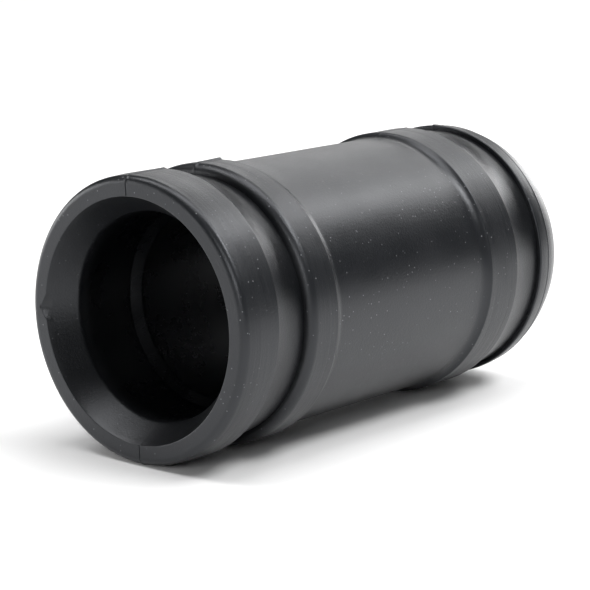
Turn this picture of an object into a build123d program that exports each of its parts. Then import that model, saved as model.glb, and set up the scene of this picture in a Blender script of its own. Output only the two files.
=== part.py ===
from build123d import *

import os
from math import sqrt

# A moulded rubber pipe coupling: one straight sleeve that joins two tubes end to end.
# The sleeve's axis is X and its middle is the origin. The near end, at -X, is a flat-faced bead with a
# tapered mouth, and the far end is a domed nose. Each end has a groove for a hose clamp, a band beside it,
# and inside a tube socket and a stop ramp.

# Tubes that the coupling joins (mm)
tube_diameter = 28.0
tube_wall = 1.0

# Places along the axis, counted from the near end face (mm)
length = 73.5
bead_end = 6.7
near_band = (12.95, 18.4)
far_band = (53.3, 59.6)
nose_start = 66.2

# Outside and inside radii (mm)
bead_radius = 19.25
nose_radius = 18.9
body_radius = 18.5
near_groove_radius = 17.8
far_groove_radius = 18.2
mouth_radius = 16.4
far_mouth_radius = 15.0
bore_radius = tube_diameter / 2
passage_radius = bore_radius - tube_wall

# Depths inside, counted from either end face (mm)
near_mouth_depth = 4.0
far_mouth_depth = 1.5
socket_depth = 13.6
stop_ramp = 1.6

# Curves of the outside: a groove's long hollow, the body's sweep up to a band, the nose's dome (mm)
groove_sweep = 20.0
body_sweep = 2.3
nose_dome = 10.9

# Roundings of the moulded edges (mm)
rim_round = 1.05
band_round = 1.3
edge_round = 0.25
mouth_round = 1.2

# Line left where the two halves of the mould meet (mm)
seam_height = 0.3
seam_width = 0.3

near_face = -length / 2
far_face = length / 2


def corners_at(sketch, radius):
    """The section's corners at one radius, from the near end to the far end."""
    return sketch.vertices().filter_by_position(Axis.Y, radius - 0.01, radius + 0.01).sort_by(Axis.X)


# Ends of the arcs along the outside
body_sweep_length = sqrt((bead_radius - body_radius) * (2 * body_sweep - bead_radius + body_radius))
body_start = near_face + near_band[1] + body_sweep_length
body_end = near_face + far_band[0] - body_sweep_length
nose_reach = length - nose_start
nose_end_radius = nose_radius - nose_dome + sqrt(nose_dome**2 - nose_reach**2)

# The wall's section, from the near groove round the outside to the far end and back through the bore
with BuildSketch(Plane.XZ) as wall:
    with BuildLine():
        near_foot = (near_face + near_band[0], near_groove_radius)
        near_groove = RadiusArc((near_face + bead_end, bead_radius), near_foot, -groove_sweep)
        near_step = Polyline(
            near_foot,
            (near_face + near_band[0], bead_radius),
            (near_face + near_band[1], bead_radius),
        )
        body_rise = RadiusArc(near_step @ 1, (body_start, body_radius), -body_sweep)
        body = Line(body_rise @ 1, (body_end, body_radius))
        body_fall = RadiusArc(body @ 1, (near_face + far_band[0], bead_radius), -body_sweep)
        band = Line(body_fall @ 1, (near_face + far_band[1], bead_radius))
        far_groove = RadiusArc(band @ 1, (near_face + nose_start, far_groove_radius), -groove_sweep)
        far_step = Line(far_groove @ 1, (near_face + nose_start, nose_radius))
        nose = RadiusArc(far_step @ 1, (far_face, nose_end_radius), nose_dome)
        Polyline(
            nose @ 1,
            (far_face, far_mouth_radius),
            (far_face - far_mouth_depth, bore_radius),
            (far_face - socket_depth, bore_radius),
            (far_face - socket_depth - stop_ramp, passage_radius),
            (near_face + socket_depth + stop_ramp, passage_radius),
            (near_face + socket_depth, bore_radius),
            (near_face + near_mouth_depth, bore_radius),
            (near_face, mouth_radius),
            (near_face, bead_radius),
            near_groove @ 0,
        )
    make_face()
    fillet(corners_at(wall, nose_end_radius), rim_round)
    fillet(corners_at(wall, bead_radius)[0], rim_round)
    fillet(corners_at(wall, bead_radius)[2], band_round)
    fillet(corners_at(wall, bead_radius)[1], edge_round)
    fillet(corners_at(wall, bead_radius)[3:], edge_round)
    fillet(corners_at(wall, nose_radius), edge_round)
    fillet(corners_at(wall, bore_radius)[0], mouth_round)

# The sleeve: the section turned about the axis, with the mould seam along its top and bottom
with BuildPart() as rubber_sleeve:
    add(wall.sketch)
    revolve(axis=Axis.X)
    with BuildSketch(Plane.XZ) as seam:
        add(wall.sketch_local)
        offset(amount=seam_height)
        Rectangle(length, 3 * bead_radius, mode=Mode.INTERSECT)
        Rectangle(length, 2 * mouth_radius, mode=Mode.SUBTRACT)
        mirror(about=Plane.XZ)
    extrude(amount=seam_width / 2, both=True)

rubber_sleeve.part.label = "rubber_sleeve"

os.makedirs("parts", exist_ok=True)
export_step(rubber_sleeve.part, "parts/rubber_sleeve.step")
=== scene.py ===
import math

import bpy
import numpy as np
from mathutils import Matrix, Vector, noise


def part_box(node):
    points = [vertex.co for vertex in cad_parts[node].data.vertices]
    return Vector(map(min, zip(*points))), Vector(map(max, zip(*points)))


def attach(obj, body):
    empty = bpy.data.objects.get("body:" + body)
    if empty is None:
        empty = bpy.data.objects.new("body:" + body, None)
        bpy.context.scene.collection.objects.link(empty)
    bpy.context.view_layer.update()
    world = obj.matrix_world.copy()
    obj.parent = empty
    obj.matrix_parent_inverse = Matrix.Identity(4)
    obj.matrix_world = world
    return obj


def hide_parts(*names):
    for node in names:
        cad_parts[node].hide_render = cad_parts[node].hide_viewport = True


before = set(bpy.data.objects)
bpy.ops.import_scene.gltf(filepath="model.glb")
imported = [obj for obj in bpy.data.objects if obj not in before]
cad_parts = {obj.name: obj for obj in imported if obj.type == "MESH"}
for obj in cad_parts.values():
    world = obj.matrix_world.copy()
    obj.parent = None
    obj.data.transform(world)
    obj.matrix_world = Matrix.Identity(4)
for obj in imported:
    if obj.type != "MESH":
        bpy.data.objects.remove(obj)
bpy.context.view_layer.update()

MM = 0.001

# The sleeve's section, in millimetres: places along the axis count from the near end face
NEAR_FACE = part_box("rubber_sleeve")[0][0] / MM
LENGTH = (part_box("rubber_sleeve")[1][0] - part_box("rubber_sleeve")[0][0]) / MM
BEAD_END = 6.7
NEAR_BAND = (12.95, 18.4)
FAR_BAND = (53.3, 59.6)
NOSE_START = 66.2
NOSE_LINE = 68.6
BEAD_R = 19.25
BEAD_FRONT_R = 19.1
NOSE_R = 18.9
BODY_R = 18.5
NEAR_GROOVE_R = 17.8
FAR_GROOVE_R = 18.2
MOUTH_R = 16.4
FAR_MOUTH_R = 15.0
BORE_R = 14.0
PASSAGE_R = 13.0
NEAR_MOUTH_DEPTH = 4.0
FAR_MOUTH_DEPTH = 1.5
SOCKET_DEPTH = 13.6
STOP_RAMP = 1.6
GROOVE_SWEEP = 20.0
BODY_SWEEP = 2.3
NOSE_DOME = 10.9
RIM_ROUND = 1.0
EDGE_ROUND = 0.25
# Depth of the lip inside the mouth, and how near a corner the points beside it stand
LIP = 0.7
SUPPORT = 0.12

# Angles run round the axis from the -Y side, over the top at 90 degrees
SEAM_ANGLES = (94.0, -88.0)
SEGMENTS = 352
# Height of the mould flash at places along the axis
FLASH = {0: 0.08, 6.7: 0.2, 7.6: 0.18, 8.6: 0.03, 12.9: 0.03, 13.6: 0.15, 18.4: 0.3, 19.4: 0.25, 20.4: 0.03,
         53.0: 0.03, 53.4: 0.12, 59.6: 0.08, 61.0: 0.03, 66.0: 0.03, 66.3: 0.15, 68.0: 0.05, 73.5: 0.03}
SEAM_RINGS = (-1.1, -0.75, -0.5, -0.3, -0.15, 0, 0.15, 0.3, 0.5, 0.75, 1.1)
# A shallow V-shaped nick in the mouth's edge: where it is, half its width in degrees and its depth
NICK_ANGLE = 181.0
NICK_HALF = 6.5
NICK_DEPTH = 1.0

# The bead's back edge stands askew by this much, most at this angle
LEAN = 0.73
LEAN_ANGLE = 25
# The far end's slight tilt against y and z, its shift to +Y and how high its band and nose stand
FAR_TILT = (0.0079, 0.0096)
FAR_SHIFT = 0.04
FAR_RISE = (0.12, 0.24)
# Unevenness of the soft wall, and how far it is drawn in so that it stays inside the plain solid
UNEVEN = 0.05
DRAWN_IN = 0.07

# Colours of the rubber: its two shades, the dust on it and the painted shade laid in the bore, mouth, lip
# and grooves
SHADE_LOW = (0.0072, 0.0082, 0.0096)
SHADE_HIGH = (0.0104, 0.0112, 0.0130)
DUST = (0.26, 0.265, 0.28)
PAINTED_RECESS_SHADE = (0.0004, 0.0006, 0.0009)
SHEEN_TINT = (0.93, 0.95, 1.0, 1)
# Depth of the finest tool marks (mm)
MARK_DEPTH = 0.05

# Stretches along the axis whose mould was turned on a lathe
TURNED_STRETCHES = ((0.5, BEAD_END), NEAR_BAND, FAR_BAND, (NOSE_START, LENGTH))


def hollow_arc(start, end, radius, count=10):
    """Points of a hollow arc between two points of the outside, without its ends."""
    (x0, y0), (x1, y1) = start, end
    chord = math.hypot(x1 - x0, y1 - y0)
    rise = math.sqrt(radius**2 - chord**2 / 4)
    centre = ((x0 + x1) / 2 - (y1 - y0) / chord * rise, (y0 + y1) / 2 + (x1 - x0) / chord * rise)
    first = math.atan2(y0 - centre[1], x0 - centre[0])
    last = math.atan2(y1 - centre[1], x1 - centre[0])
    turns = [first + (last - first) * k / count for k in range(1, count)]
    return [(centre[0] + radius * math.cos(t), centre[1] + radius * math.sin(t), 0) for t in turns]


def sweep_length(drop, radius):
    """How far an arc of this radius reaches along the axis while it falls by drop."""
    return math.sqrt(drop * (2 * radius - drop))


def nose_arc(count=18):
    """Points of the domed nose, with the fine moulding line that runs round it."""
    places = [NOSE_START + (LENGTH - NOSE_START) * k / count for k in range(1, count)]
    places = [x for x in places if abs(x - NOSE_LINE) > 0.25]
    places += [NOSE_LINE - 0.16, NOSE_LINE, NOSE_LINE + 0.16]
    pts = []
    for x in sorted(places):
        y = NOSE_R - NOSE_DOME + math.sqrt(NOSE_DOME**2 - (x - NOSE_START) ** 2)
        pts.append((x, y + (0.07 if x == NOSE_LINE else 0), 0))
    return pts


def rounded(corners, step=1.3):
    """Points along a closed outline whose corners are (x, y, rounding radius)."""
    pts = []
    n = len(corners)
    for i, (x, y, radius) in enumerate(corners):
        here = Vector((x, y))
        to_before = (Vector(corners[i - 1][:2]) - here).normalized()
        to_after = (Vector(corners[(i + 1) % n][:2]) - here).normalized()
        half = to_before.angle(to_after) / 2
        arc = [here]
        if radius > 0:
            centre = here + (to_before + to_after).normalized() * (radius / math.sin(half))
            cut = radius / math.tan(half)
            a0 = here + to_before * cut - centre
            a1 = here + to_after * cut - centre
            turn = math.atan2(a0.x * a1.y - a0.y * a1.x, a0.dot(a1))
            count = max(4, round(abs(turn) / 0.2))
            first = math.atan2(a0.y, a0.x)
            steps = [first + turn * k / count for k in range(count + 1)]
            arc = [centre + radius * Vector((math.cos(a), math.sin(a))) for a in steps]
        if pts:
            start, gap = pts[-1], (arc[0] - pts[-1]).length
            fill = max(1, math.ceil(gap / step))
            parts = [k / fill for k in range(1, fill)]
            if parts:
                parts = [SUPPORT / gap, *parts, 1 - SUPPORT / gap]
            pts += [start.lerp(arc[0], part) for part in parts]
        pts += arc
    return pts


def sleeve_section():
    """The wall's outline, from the near socket round the mouth, along the outside and back inside."""
    bead_edge = (BEAD_END, BEAD_R)
    foot_a = (NEAR_BAND[0], NEAR_GROOVE_R)
    band_a = (NEAR_BAND[1], BEAD_R)
    body_a = (NEAR_BAND[1] + sweep_length(BEAD_R - BODY_R, BODY_SWEEP), BODY_R)
    body_b = (FAR_BAND[0] - sweep_length(BEAD_R - BODY_R, BODY_SWEEP), BODY_R)
    band_b = (FAR_BAND[0], BEAD_R)
    band_edge = (FAR_BAND[1], BEAD_R)
    foot_b = (NOSE_START, FAR_GROOVE_R)
    nose_end = NOSE_R - NOSE_DOME + math.sqrt(NOSE_DOME**2 - (LENGTH - NOSE_START) ** 2)
    corners = [
        (SOCKET_DEPTH + STOP_RAMP, PASSAGE_R, 0.6),
        (SOCKET_DEPTH, BORE_R, 0.3),
        (NEAR_MOUTH_DEPTH, BORE_R, 1.2),
        (LIP, MOUTH_R - LIP * (MOUTH_R - BORE_R) / NEAR_MOUTH_DEPTH, 0),
        (0, MOUTH_R, 0.1),
        (0, MOUTH_R + 0.35, 0),
        (0, BEAD_FRONT_R, RIM_ROUND),
        (3.0, BEAD_R, 0),
        (*bead_edge, EDGE_ROUND),
        *hollow_arc(bead_edge, foot_a, GROOVE_SWEEP),
        (*foot_a, 0),
        (NEAR_BAND[0], BEAD_R, 1.35),
        (*band_a, EDGE_ROUND),
        *hollow_arc(band_a, body_a, BODY_SWEEP, 7),
        (*body_a, 0),
        (*body_b, 0),
        *hollow_arc(body_b, band_b, BODY_SWEEP, 7),
        (*band_b, EDGE_ROUND),
        (*band_edge, EDGE_ROUND),
        *hollow_arc(band_edge, foot_b, GROOVE_SWEEP),
        (*foot_b, 0),
        (NOSE_START, NOSE_R, EDGE_ROUND),
        *nose_arc(),
        (LENGTH, nose_end, RIM_ROUND * 0.8),
        (LENGTH, FAR_MOUTH_R, 0.12),
        (LENGTH - FAR_MOUTH_DEPTH, BORE_R, 0.3),
        (LENGTH - SOCKET_DEPTH, BORE_R, 0.3),
        (LENGTH - SOCKET_DEPTH - STOP_RAMP, PASSAGE_R, 0.6),
    ]
    return np.array([tuple(p) for p in rounded(corners)])


def ring_angles():
    """Angles of the sleeve's segments in degrees, closer together at the two mould seams."""
    angles = list(np.arange(SEGMENTS) * 360 / SEGMENTS - 150)
    for seam in SEAM_ANGLES:
        angles = [a for a in angles if abs(a - seam) > 1.3]
        angles += [seam + beside for beside in SEAM_RINGS]
    return np.array(sorted(angles))


def smooth(x, low, high):
    """A soft step from 0 at low to 1 at high."""
    t = np.clip((x - low) / (high - low), 0, 1)
    return t * t * (3 - 2 * t)


def bump(x, centre, half):
    """A round bump of height 1 that is nothing beyond half either side of its centre."""
    t = np.clip(np.abs(x - centre) / half, 0, 1)
    return (1 - t * t) ** 2


def lean(x, r, angle):
    """The bead's back edge stands a little askew, and the surfaces beside it follow."""
    follow = np.interp(x, [0.8, BEAD_END, 12.4], [0, 1, 0]) * smooth(r, 16.8, 17.6)
    return LEAN * np.sin(np.radians(angle - LEAN_ANGLE)) * follow


def seam_flash(x, r, angle):
    """Height of the thin line of rubber where the two halves of the mould met."""
    height = np.interp(x, list(FLASH), list(FLASH.values()))
    line = sum(bump(angle, seam, 1.0) for seam in SEAM_ANGLES)
    return line * smooth(r, 17.0, 17.6) * height


def nick(angle):
    """1 at the tip of the nick and 0 beyond its two ends."""
    return np.clip(1 - np.abs(angle - NICK_ANGLE) / NICK_HALF, 0, 1)


def softness(x, angle):
    """Slight unevenness of the soft wall."""
    a = np.radians(angle)
    places = zip(x.ravel() * 0.05, 1.1 * np.cos(a).ravel(), 1.1 * np.sin(a).ravel())
    return UNEVEN * np.array([noise.noise(Vector(place)) for place in places]).reshape(x.shape)


def sleeve_surface(section, angles):
    """Section points carried round the axis, with the marks that moulding and handling left."""
    angle, x = np.meshgrid(angles, section[:, 0], indexing="ij")
    r = np.repeat(section[None, :, 1], len(angles), 0)
    outside = smooth(r, 16.6, 17.6)
    x_new = x + lean(x, r, angle)
    r_new = r + seam_flash(x, r, angle) + outside * (softness(x, angle) - DRAWN_IN)
    cut = nick(angle) * bump(x, 0, LIP) * (1 - smooth(r, MOUTH_R + 0.1, MOUTH_R + 1.2))
    r_new = r_new + NICK_DEPTH * cut
    face = bump(x, 0, 0.3) * smooth(r, 16.3, 16.5)
    for seam in SEAM_ANGLES:
        x_new = x_new + 0.16 * face * bump(angle, seam, 0.32)
    y = -r_new * np.cos(np.radians(angle))
    z = r_new * np.sin(np.radians(angle))
    far = np.clip((x - NEAR_BAND[1]) / (FAR_BAND[0] - NEAR_BAND[1]), 0, 1)
    x_new = x_new + far * outside * (FAR_TILT[0] * y + FAR_TILT[1] * z)
    z = z + np.interp(x, [NEAR_BAND[1], FAR_BAND[0], NOSE_START], [0, *FAR_RISE])
    return np.stack([NEAR_FACE + x_new, y + FAR_SHIFT * far, z], -1)


def turned_amount(section):
    """How strongly the turned mould marked each point of the section: fully on the bead, bands and nose."""
    x, r = section[:, 0], section[:, 1]
    raised = sum(smooth(x, a - 0.2, a + 0.2) * smooth(-x, -b - 0.2, -b + 0.2) for a, b in TURNED_STRETCHES)
    return raised * smooth(r, 17.2, 18.6)


def painted_shade_amount(section, angles):
    """Mask of painted shade: 1 in the bore, less on the mouth, its lip and the grooves, else 0. It also
    thins the dust and grain there.
    """
    x, r = section[:, 0], section[:, 1]
    bore = (1 - smooth(r, 14.1, 14.6)) * smooth(x, 3.5, 6.0)
    mouth = 0.5 * (x > 0.03) * (r < MOUTH_R) * (x < SOCKET_DEPTH)
    # Painted shade in the grooves next to each end
    near_or_far = smooth(-x, -14.2, -13.4) + smooth(x, 61, 62)
    grooves = 0.6 * (r > BORE_R + 2) * smooth(-r, -18.9, -18.3) * near_or_far
    # Painted shadow line along the lip at the mouth's edge, darker at the nick
    lip = (x > 0.03) * (x < LIP) * (r < MOUTH_R) * (r > BORE_R)
    plain = np.maximum(np.maximum(bore, mouth), grooves * (x > BEAD_END) * (x < NOSE_START + 0.1))
    return np.maximum(plain, lip * (0.6 + 0.15 * np.minimum(3 * nick(angles), 1)[:, None]))


def moulded_sleeve():
    """The whole sleeve as one closed mesh: the section's points joined from ring to ring."""
    section = sleeve_section()
    angles = ring_angles()
    points = sleeve_surface(section, angles)
    rings, n = points.shape[:2]
    i, j = np.meshgrid(np.arange(rings), np.arange(n), indexing="ij")
    here = i * n + j
    along = i * n + (j + 1) % n
    round_along = ((i + 1) % rings) * n + (j + 1) % n
    round_here = ((i + 1) % rings) * n + j
    faces = np.stack([here, along, round_along, round_here], -1).reshape(-1, 4)
    mesh = bpy.data.meshes.new("moulded_sleeve")
    mesh.from_pydata((points.reshape(-1, 3) * MM).tolist(), [], faces.tolist())
    mesh.update()
    mesh.shade_smooth()
    mesh.set_sharp_from_angle(angle=math.radians(40))
    turned = np.tile(turned_amount(section), rings)
    for name, amount in (("turned", turned), ("hollow", painted_shade_amount(section, angles).ravel())):
        mesh.attributes.new(name, "FLOAT", "POINT").data.foreach_set("value", amount)
    sleeve = bpy.data.objects.new("moulded_sleeve", mesh)
    bpy.context.scene.collection.objects.link(sleeve)
    return sleeve


class Nodes:
    """Short calls for building one material's node tree."""

    def __init__(self, material):
        material.use_nodes = True
        self.tree = material.node_tree
        self.shader = self.tree.nodes["Principled BSDF"]

    def node(self, kind, inputs=None, **settings):
        made = self.tree.nodes.new(kind)
        for key, value in settings.items():
            setattr(made, key, value)
        for key, value in (inputs or {}).items():
            self.feed(made.inputs[key], value)
        return made

    def feed(self, socket, value):
        if isinstance(value, bpy.types.NodeSocket):
            self.tree.links.new(value, socket)
        else:
            socket.default_value = value

    def math(self, operation, a, b=0.0):
        return self.node("ShaderNodeMath", {0: a, 1: b}, operation=operation).outputs[0]

    def ranged(self, value, low, high, to_low, to_high, kind="LINEAR"):
        inputs = {"Value": value, "From Min": low, "From Max": high, "To Min": to_low, "To Max": to_high}
        return self.node("ShaderNodeMapRange", inputs, interpolation_type=kind).outputs["Result"]

    def mix(self, factor, a, b):
        a = (*a, 1) if isinstance(a, tuple) else a
        made = self.node("ShaderNodeMix", data_type="RGBA")
        for key, value in ((0, factor), (6, a), (7, (*b, 1))):
            self.feed(made.inputs[key], value)
        return made.outputs[2]

    def noise(self, place, scale, stretch=(1, 1, 1), detail=2.0, roughness=0.5):
        """Noise over the surface: scale is features per millimetre, and a small stretch lengthens them."""
        along = [scale * s / MM for s in stretch]
        moved = self.node("ShaderNodeMapping", {"Vector": place, "Scale": along}).outputs["Vector"]
        inputs = {"Vector": moved, "Scale": 1.0, "Detail": detail, "Roughness": roughness}
        return self.node("ShaderNodeTexNoise", inputs).outputs["Fac"]


def black_rubber():
    """Moulded black rubber: satin, finely grained, with tool marks round its raised bands and some dust."""
    rubber = bpy.data.materials.new("black_rubber")
    n = Nodes(rubber)
    place = n.node("ShaderNodeTexCoord").outputs["Object"]
    turned = n.node("ShaderNodeAttribute", attribute_name="turned").outputs["Fac"]
    # Mask of the painted shade in the bore, mouth, lip and grooves; it also thins dust and grain there
    hollow = n.node("ShaderNodeAttribute", attribute_name="hollow").outputs["Fac"]

    # Marks that run round the axis, faint on the plain wall
    streaks = n.noise(place, 2.4, (1.0, 0.05, 0.05), 4.0, 0.65)
    lines = n.noise(place, 1.1, (1.0, 0.02, 0.02), 1.0)
    marks = n.math("ADD", n.math("MULTIPLY", streaks, 0.6), n.math("MULTIPLY", lines, 0.4))
    marks = n.math("MULTIPLY", marks, n.ranged(turned, 0, 1, 0.12, 1.0))
    grain = n.noise(place, 3.2, detail=3.0, roughness=0.7)
    cloud = n.noise(place, 0.16, detail=4.0, roughness=0.6)

    # Specks of dust: small spheres scattered through space show as spots where the surface cuts them
    scaled = n.node("ShaderNodeMapping", {"Vector": place, "Scale": [1 / MM] * 3}).outputs["Vector"]
    cells = n.node("ShaderNodeTexVoronoi", {"Vector": scaled, "Scale": 1.0}).outputs["Distance"]
    dust = n.math("MULTIPLY", n.ranged(cells, 0.055, 0.11, 1.0, 0.0), n.ranged(cloud, 0.35, 0.6, 0.3, 1.0))

    dust = n.math("MULTIPLY", dust, n.ranged(hollow, 0.5, 1.0, 1.0, 0.1))
    shade = n.mix(cloud, SHADE_LOW, SHADE_HIGH)
    shade = n.mix(n.math("MULTIPLY", dust, 0.8), shade, DUST)
    # Painted shade: the bore, mouth, lip and grooves are darkened in the base colour
    shade = n.mix(hollow, shade, PAINTED_RECESS_SHADE)
    n.feed(n.shader.inputs["Base Color"], shade)
    n.feed(n.shader.inputs["Specular Tint"], SHEEN_TINT)
    satin = n.math("ADD", n.ranged(cloud, 0.3, 0.7, 0.34, 0.40), n.ranged(marks, 0.35, 0.65, -0.04, 0.05))
    matt = n.math("ADD", n.math("MULTIPLY", dust, 0.4), n.ranged(hollow, 0.8, 1.0, 0.0, -0.05))
    n.feed(n.shader.inputs["Roughness"], n.math("ADD", satin, matt))
    height = n.math("ADD", marks, n.math("MULTIPLY", grain, 0.6))
    height = n.math("MULTIPLY", height, n.ranged(hollow, 0.7, 1.0, 1.0, 0.15))
    bump = n.node("ShaderNodeBump", {"Height": height, "Strength": 1.0, "Distance": MARK_DEPTH * MM})
    n.feed(n.shader.inputs["Normal"], bump.outputs["Normal"])
    return rubber


def paper_floor():
    """A wide sheet of plain white paper that the bead rests on."""
    half = 4.0
    z = -BEAD_R * MM
    corners = [(-half, -half, z), (half, -half, z), (half, half, z), (-half, half, z)]
    mesh = bpy.data.meshes.new("floor")
    mesh.from_pydata(corners, [], [(0, 1, 2, 3)])
    floor = bpy.data.objects.new("floor", mesh)
    bpy.context.scene.collection.objects.link(floor)
    paper = bpy.data.materials.new("white_paper")
    paper.use_nodes = True
    shader = paper.node_tree.nodes["Principled BSDF"]
    shader.inputs["Base Color"].default_value = (0.95, 0.95, 0.95, 1)
    shader.inputs["Roughness"].default_value = 0.9
    shader.inputs["Specular IOR Level"].default_value = 0.1
    floor.data.materials.append(paper)


def panel(name, azimuth, elevation, size, radiance):
    """A soft light panel, a metre away, that faces the sleeve. Azimuth 0 is +X and 90 is +Y."""
    light = bpy.data.lights.new(name, "AREA")
    light.shape = "RECTANGLE"
    light.size, light.size_y = size
    light.energy = radiance * math.pi * size[0] * size[1]
    lamp = bpy.data.objects.new(name, light)
    a, e = math.radians(azimuth), math.radians(elevation)
    way = Vector((math.cos(e) * math.cos(a), math.cos(e) * math.sin(a), math.sin(e)))
    lamp.location = way
    lamp.rotation_euler = (-way).to_track_quat("-Z", "Y").to_euler()
    bpy.context.scene.collection.objects.link(lamp)


# Soft panels round the sleeve: azimuth, elevation, (width, height) in metres and brightness
PANELS = {
    "softbox": (15, 38, (0.85, 0.28), 3.0),
    "end_strip": (0, 20, (0.26, 0.20), 6.5),
    "end_glow": (12, 7, (0.36, 0.26), 4.5),
    "shine": (345, 43, (0.24, 0.28), 4.0),
    "top_fill": (40, 20, (0.35, 0.20), 1.3),
    "rim_glow": (44, 9, (0.55, 0.26), 0.8),
    "overhead": (0, 88, (0.60, 0.60), 4.0),
    "back_glow": (112, 7, (0.80, 0.28), 5.0),
    "left_glow": (210, 22, (0.50, 0.28), 5.8),
    "front_high": (288, 54, (0.38, 0.28), 16.0),
    "side_high": (324, 54, (0.38, 0.28), 6.0),
    "crown_back": (115, 56, (0.30, 0.30), 7.0),
    "crown_left": (155, 68, (0.30, 0.24), 5.0),
}


# Camera: focal length in mm, its turn and tilt, and its place from the near face's middle in bead radii
LENS = 137.28814
EYE_YAW = 0.6964
EYE_PITCH = 0.2016
EYE_PLACE = (-10.648, -10.312, 3.208)


def studio():
    """A ring of soft panels, and plain white beyond the floor that only the camera sees."""
    for name, (azimuth, elevation, size, brightness) in PANELS.items():
        panel(name, azimuth, elevation, size, brightness)
    world = bpy.data.worlds.new("studio")
    bpy.context.scene.world = world
    world.use_nodes = True
    tree = world.node_tree
    background = tree.nodes["Background"]
    background.inputs["Color"].default_value = (1, 1, 1, 1)
    seen = tree.nodes.new("ShaderNodeLightPath")
    strength = tree.nodes.new("ShaderNodeMapRange")
    strength.inputs["To Min"].default_value = 0.02
    strength.inputs["To Max"].default_value = 1.0
    tree.links.new(seen.outputs["Is Camera Ray"], strength.inputs["Value"])
    tree.links.new(strength.outputs["Result"], background.inputs["Strength"])


def camera():
    """A long lens at the near end's side, a little above the axis."""
    data = bpy.data.cameras.new("camera")
    data.sensor_width = 36
    data.lens = LENS
    data.clip_start = 0.01
    data.clip_end = 20
    eye = bpy.data.objects.new("camera", data)
    bpy.context.scene.collection.objects.link(eye)
    level = math.cos(EYE_PITCH)
    forward = Vector((level * math.cos(EYE_YAW), level * math.sin(EYE_YAW), -math.sin(EYE_PITCH)))
    eye.location = (Vector((NEAR_FACE, 0, 0)) + Vector(EYE_PLACE) * BEAD_R) * MM
    eye.rotation_euler = forward.to_track_quat("-Z", "Y").to_euler()
    bpy.context.scene.camera = eye


sleeve = moulded_sleeve()
sleeve.data.materials.append(black_rubber())
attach(sleeve, "root")
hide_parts("rubber_sleeve")
paper_floor()
studio()
camera()
bpy.context.scene.view_settings.view_transform = "Standard"
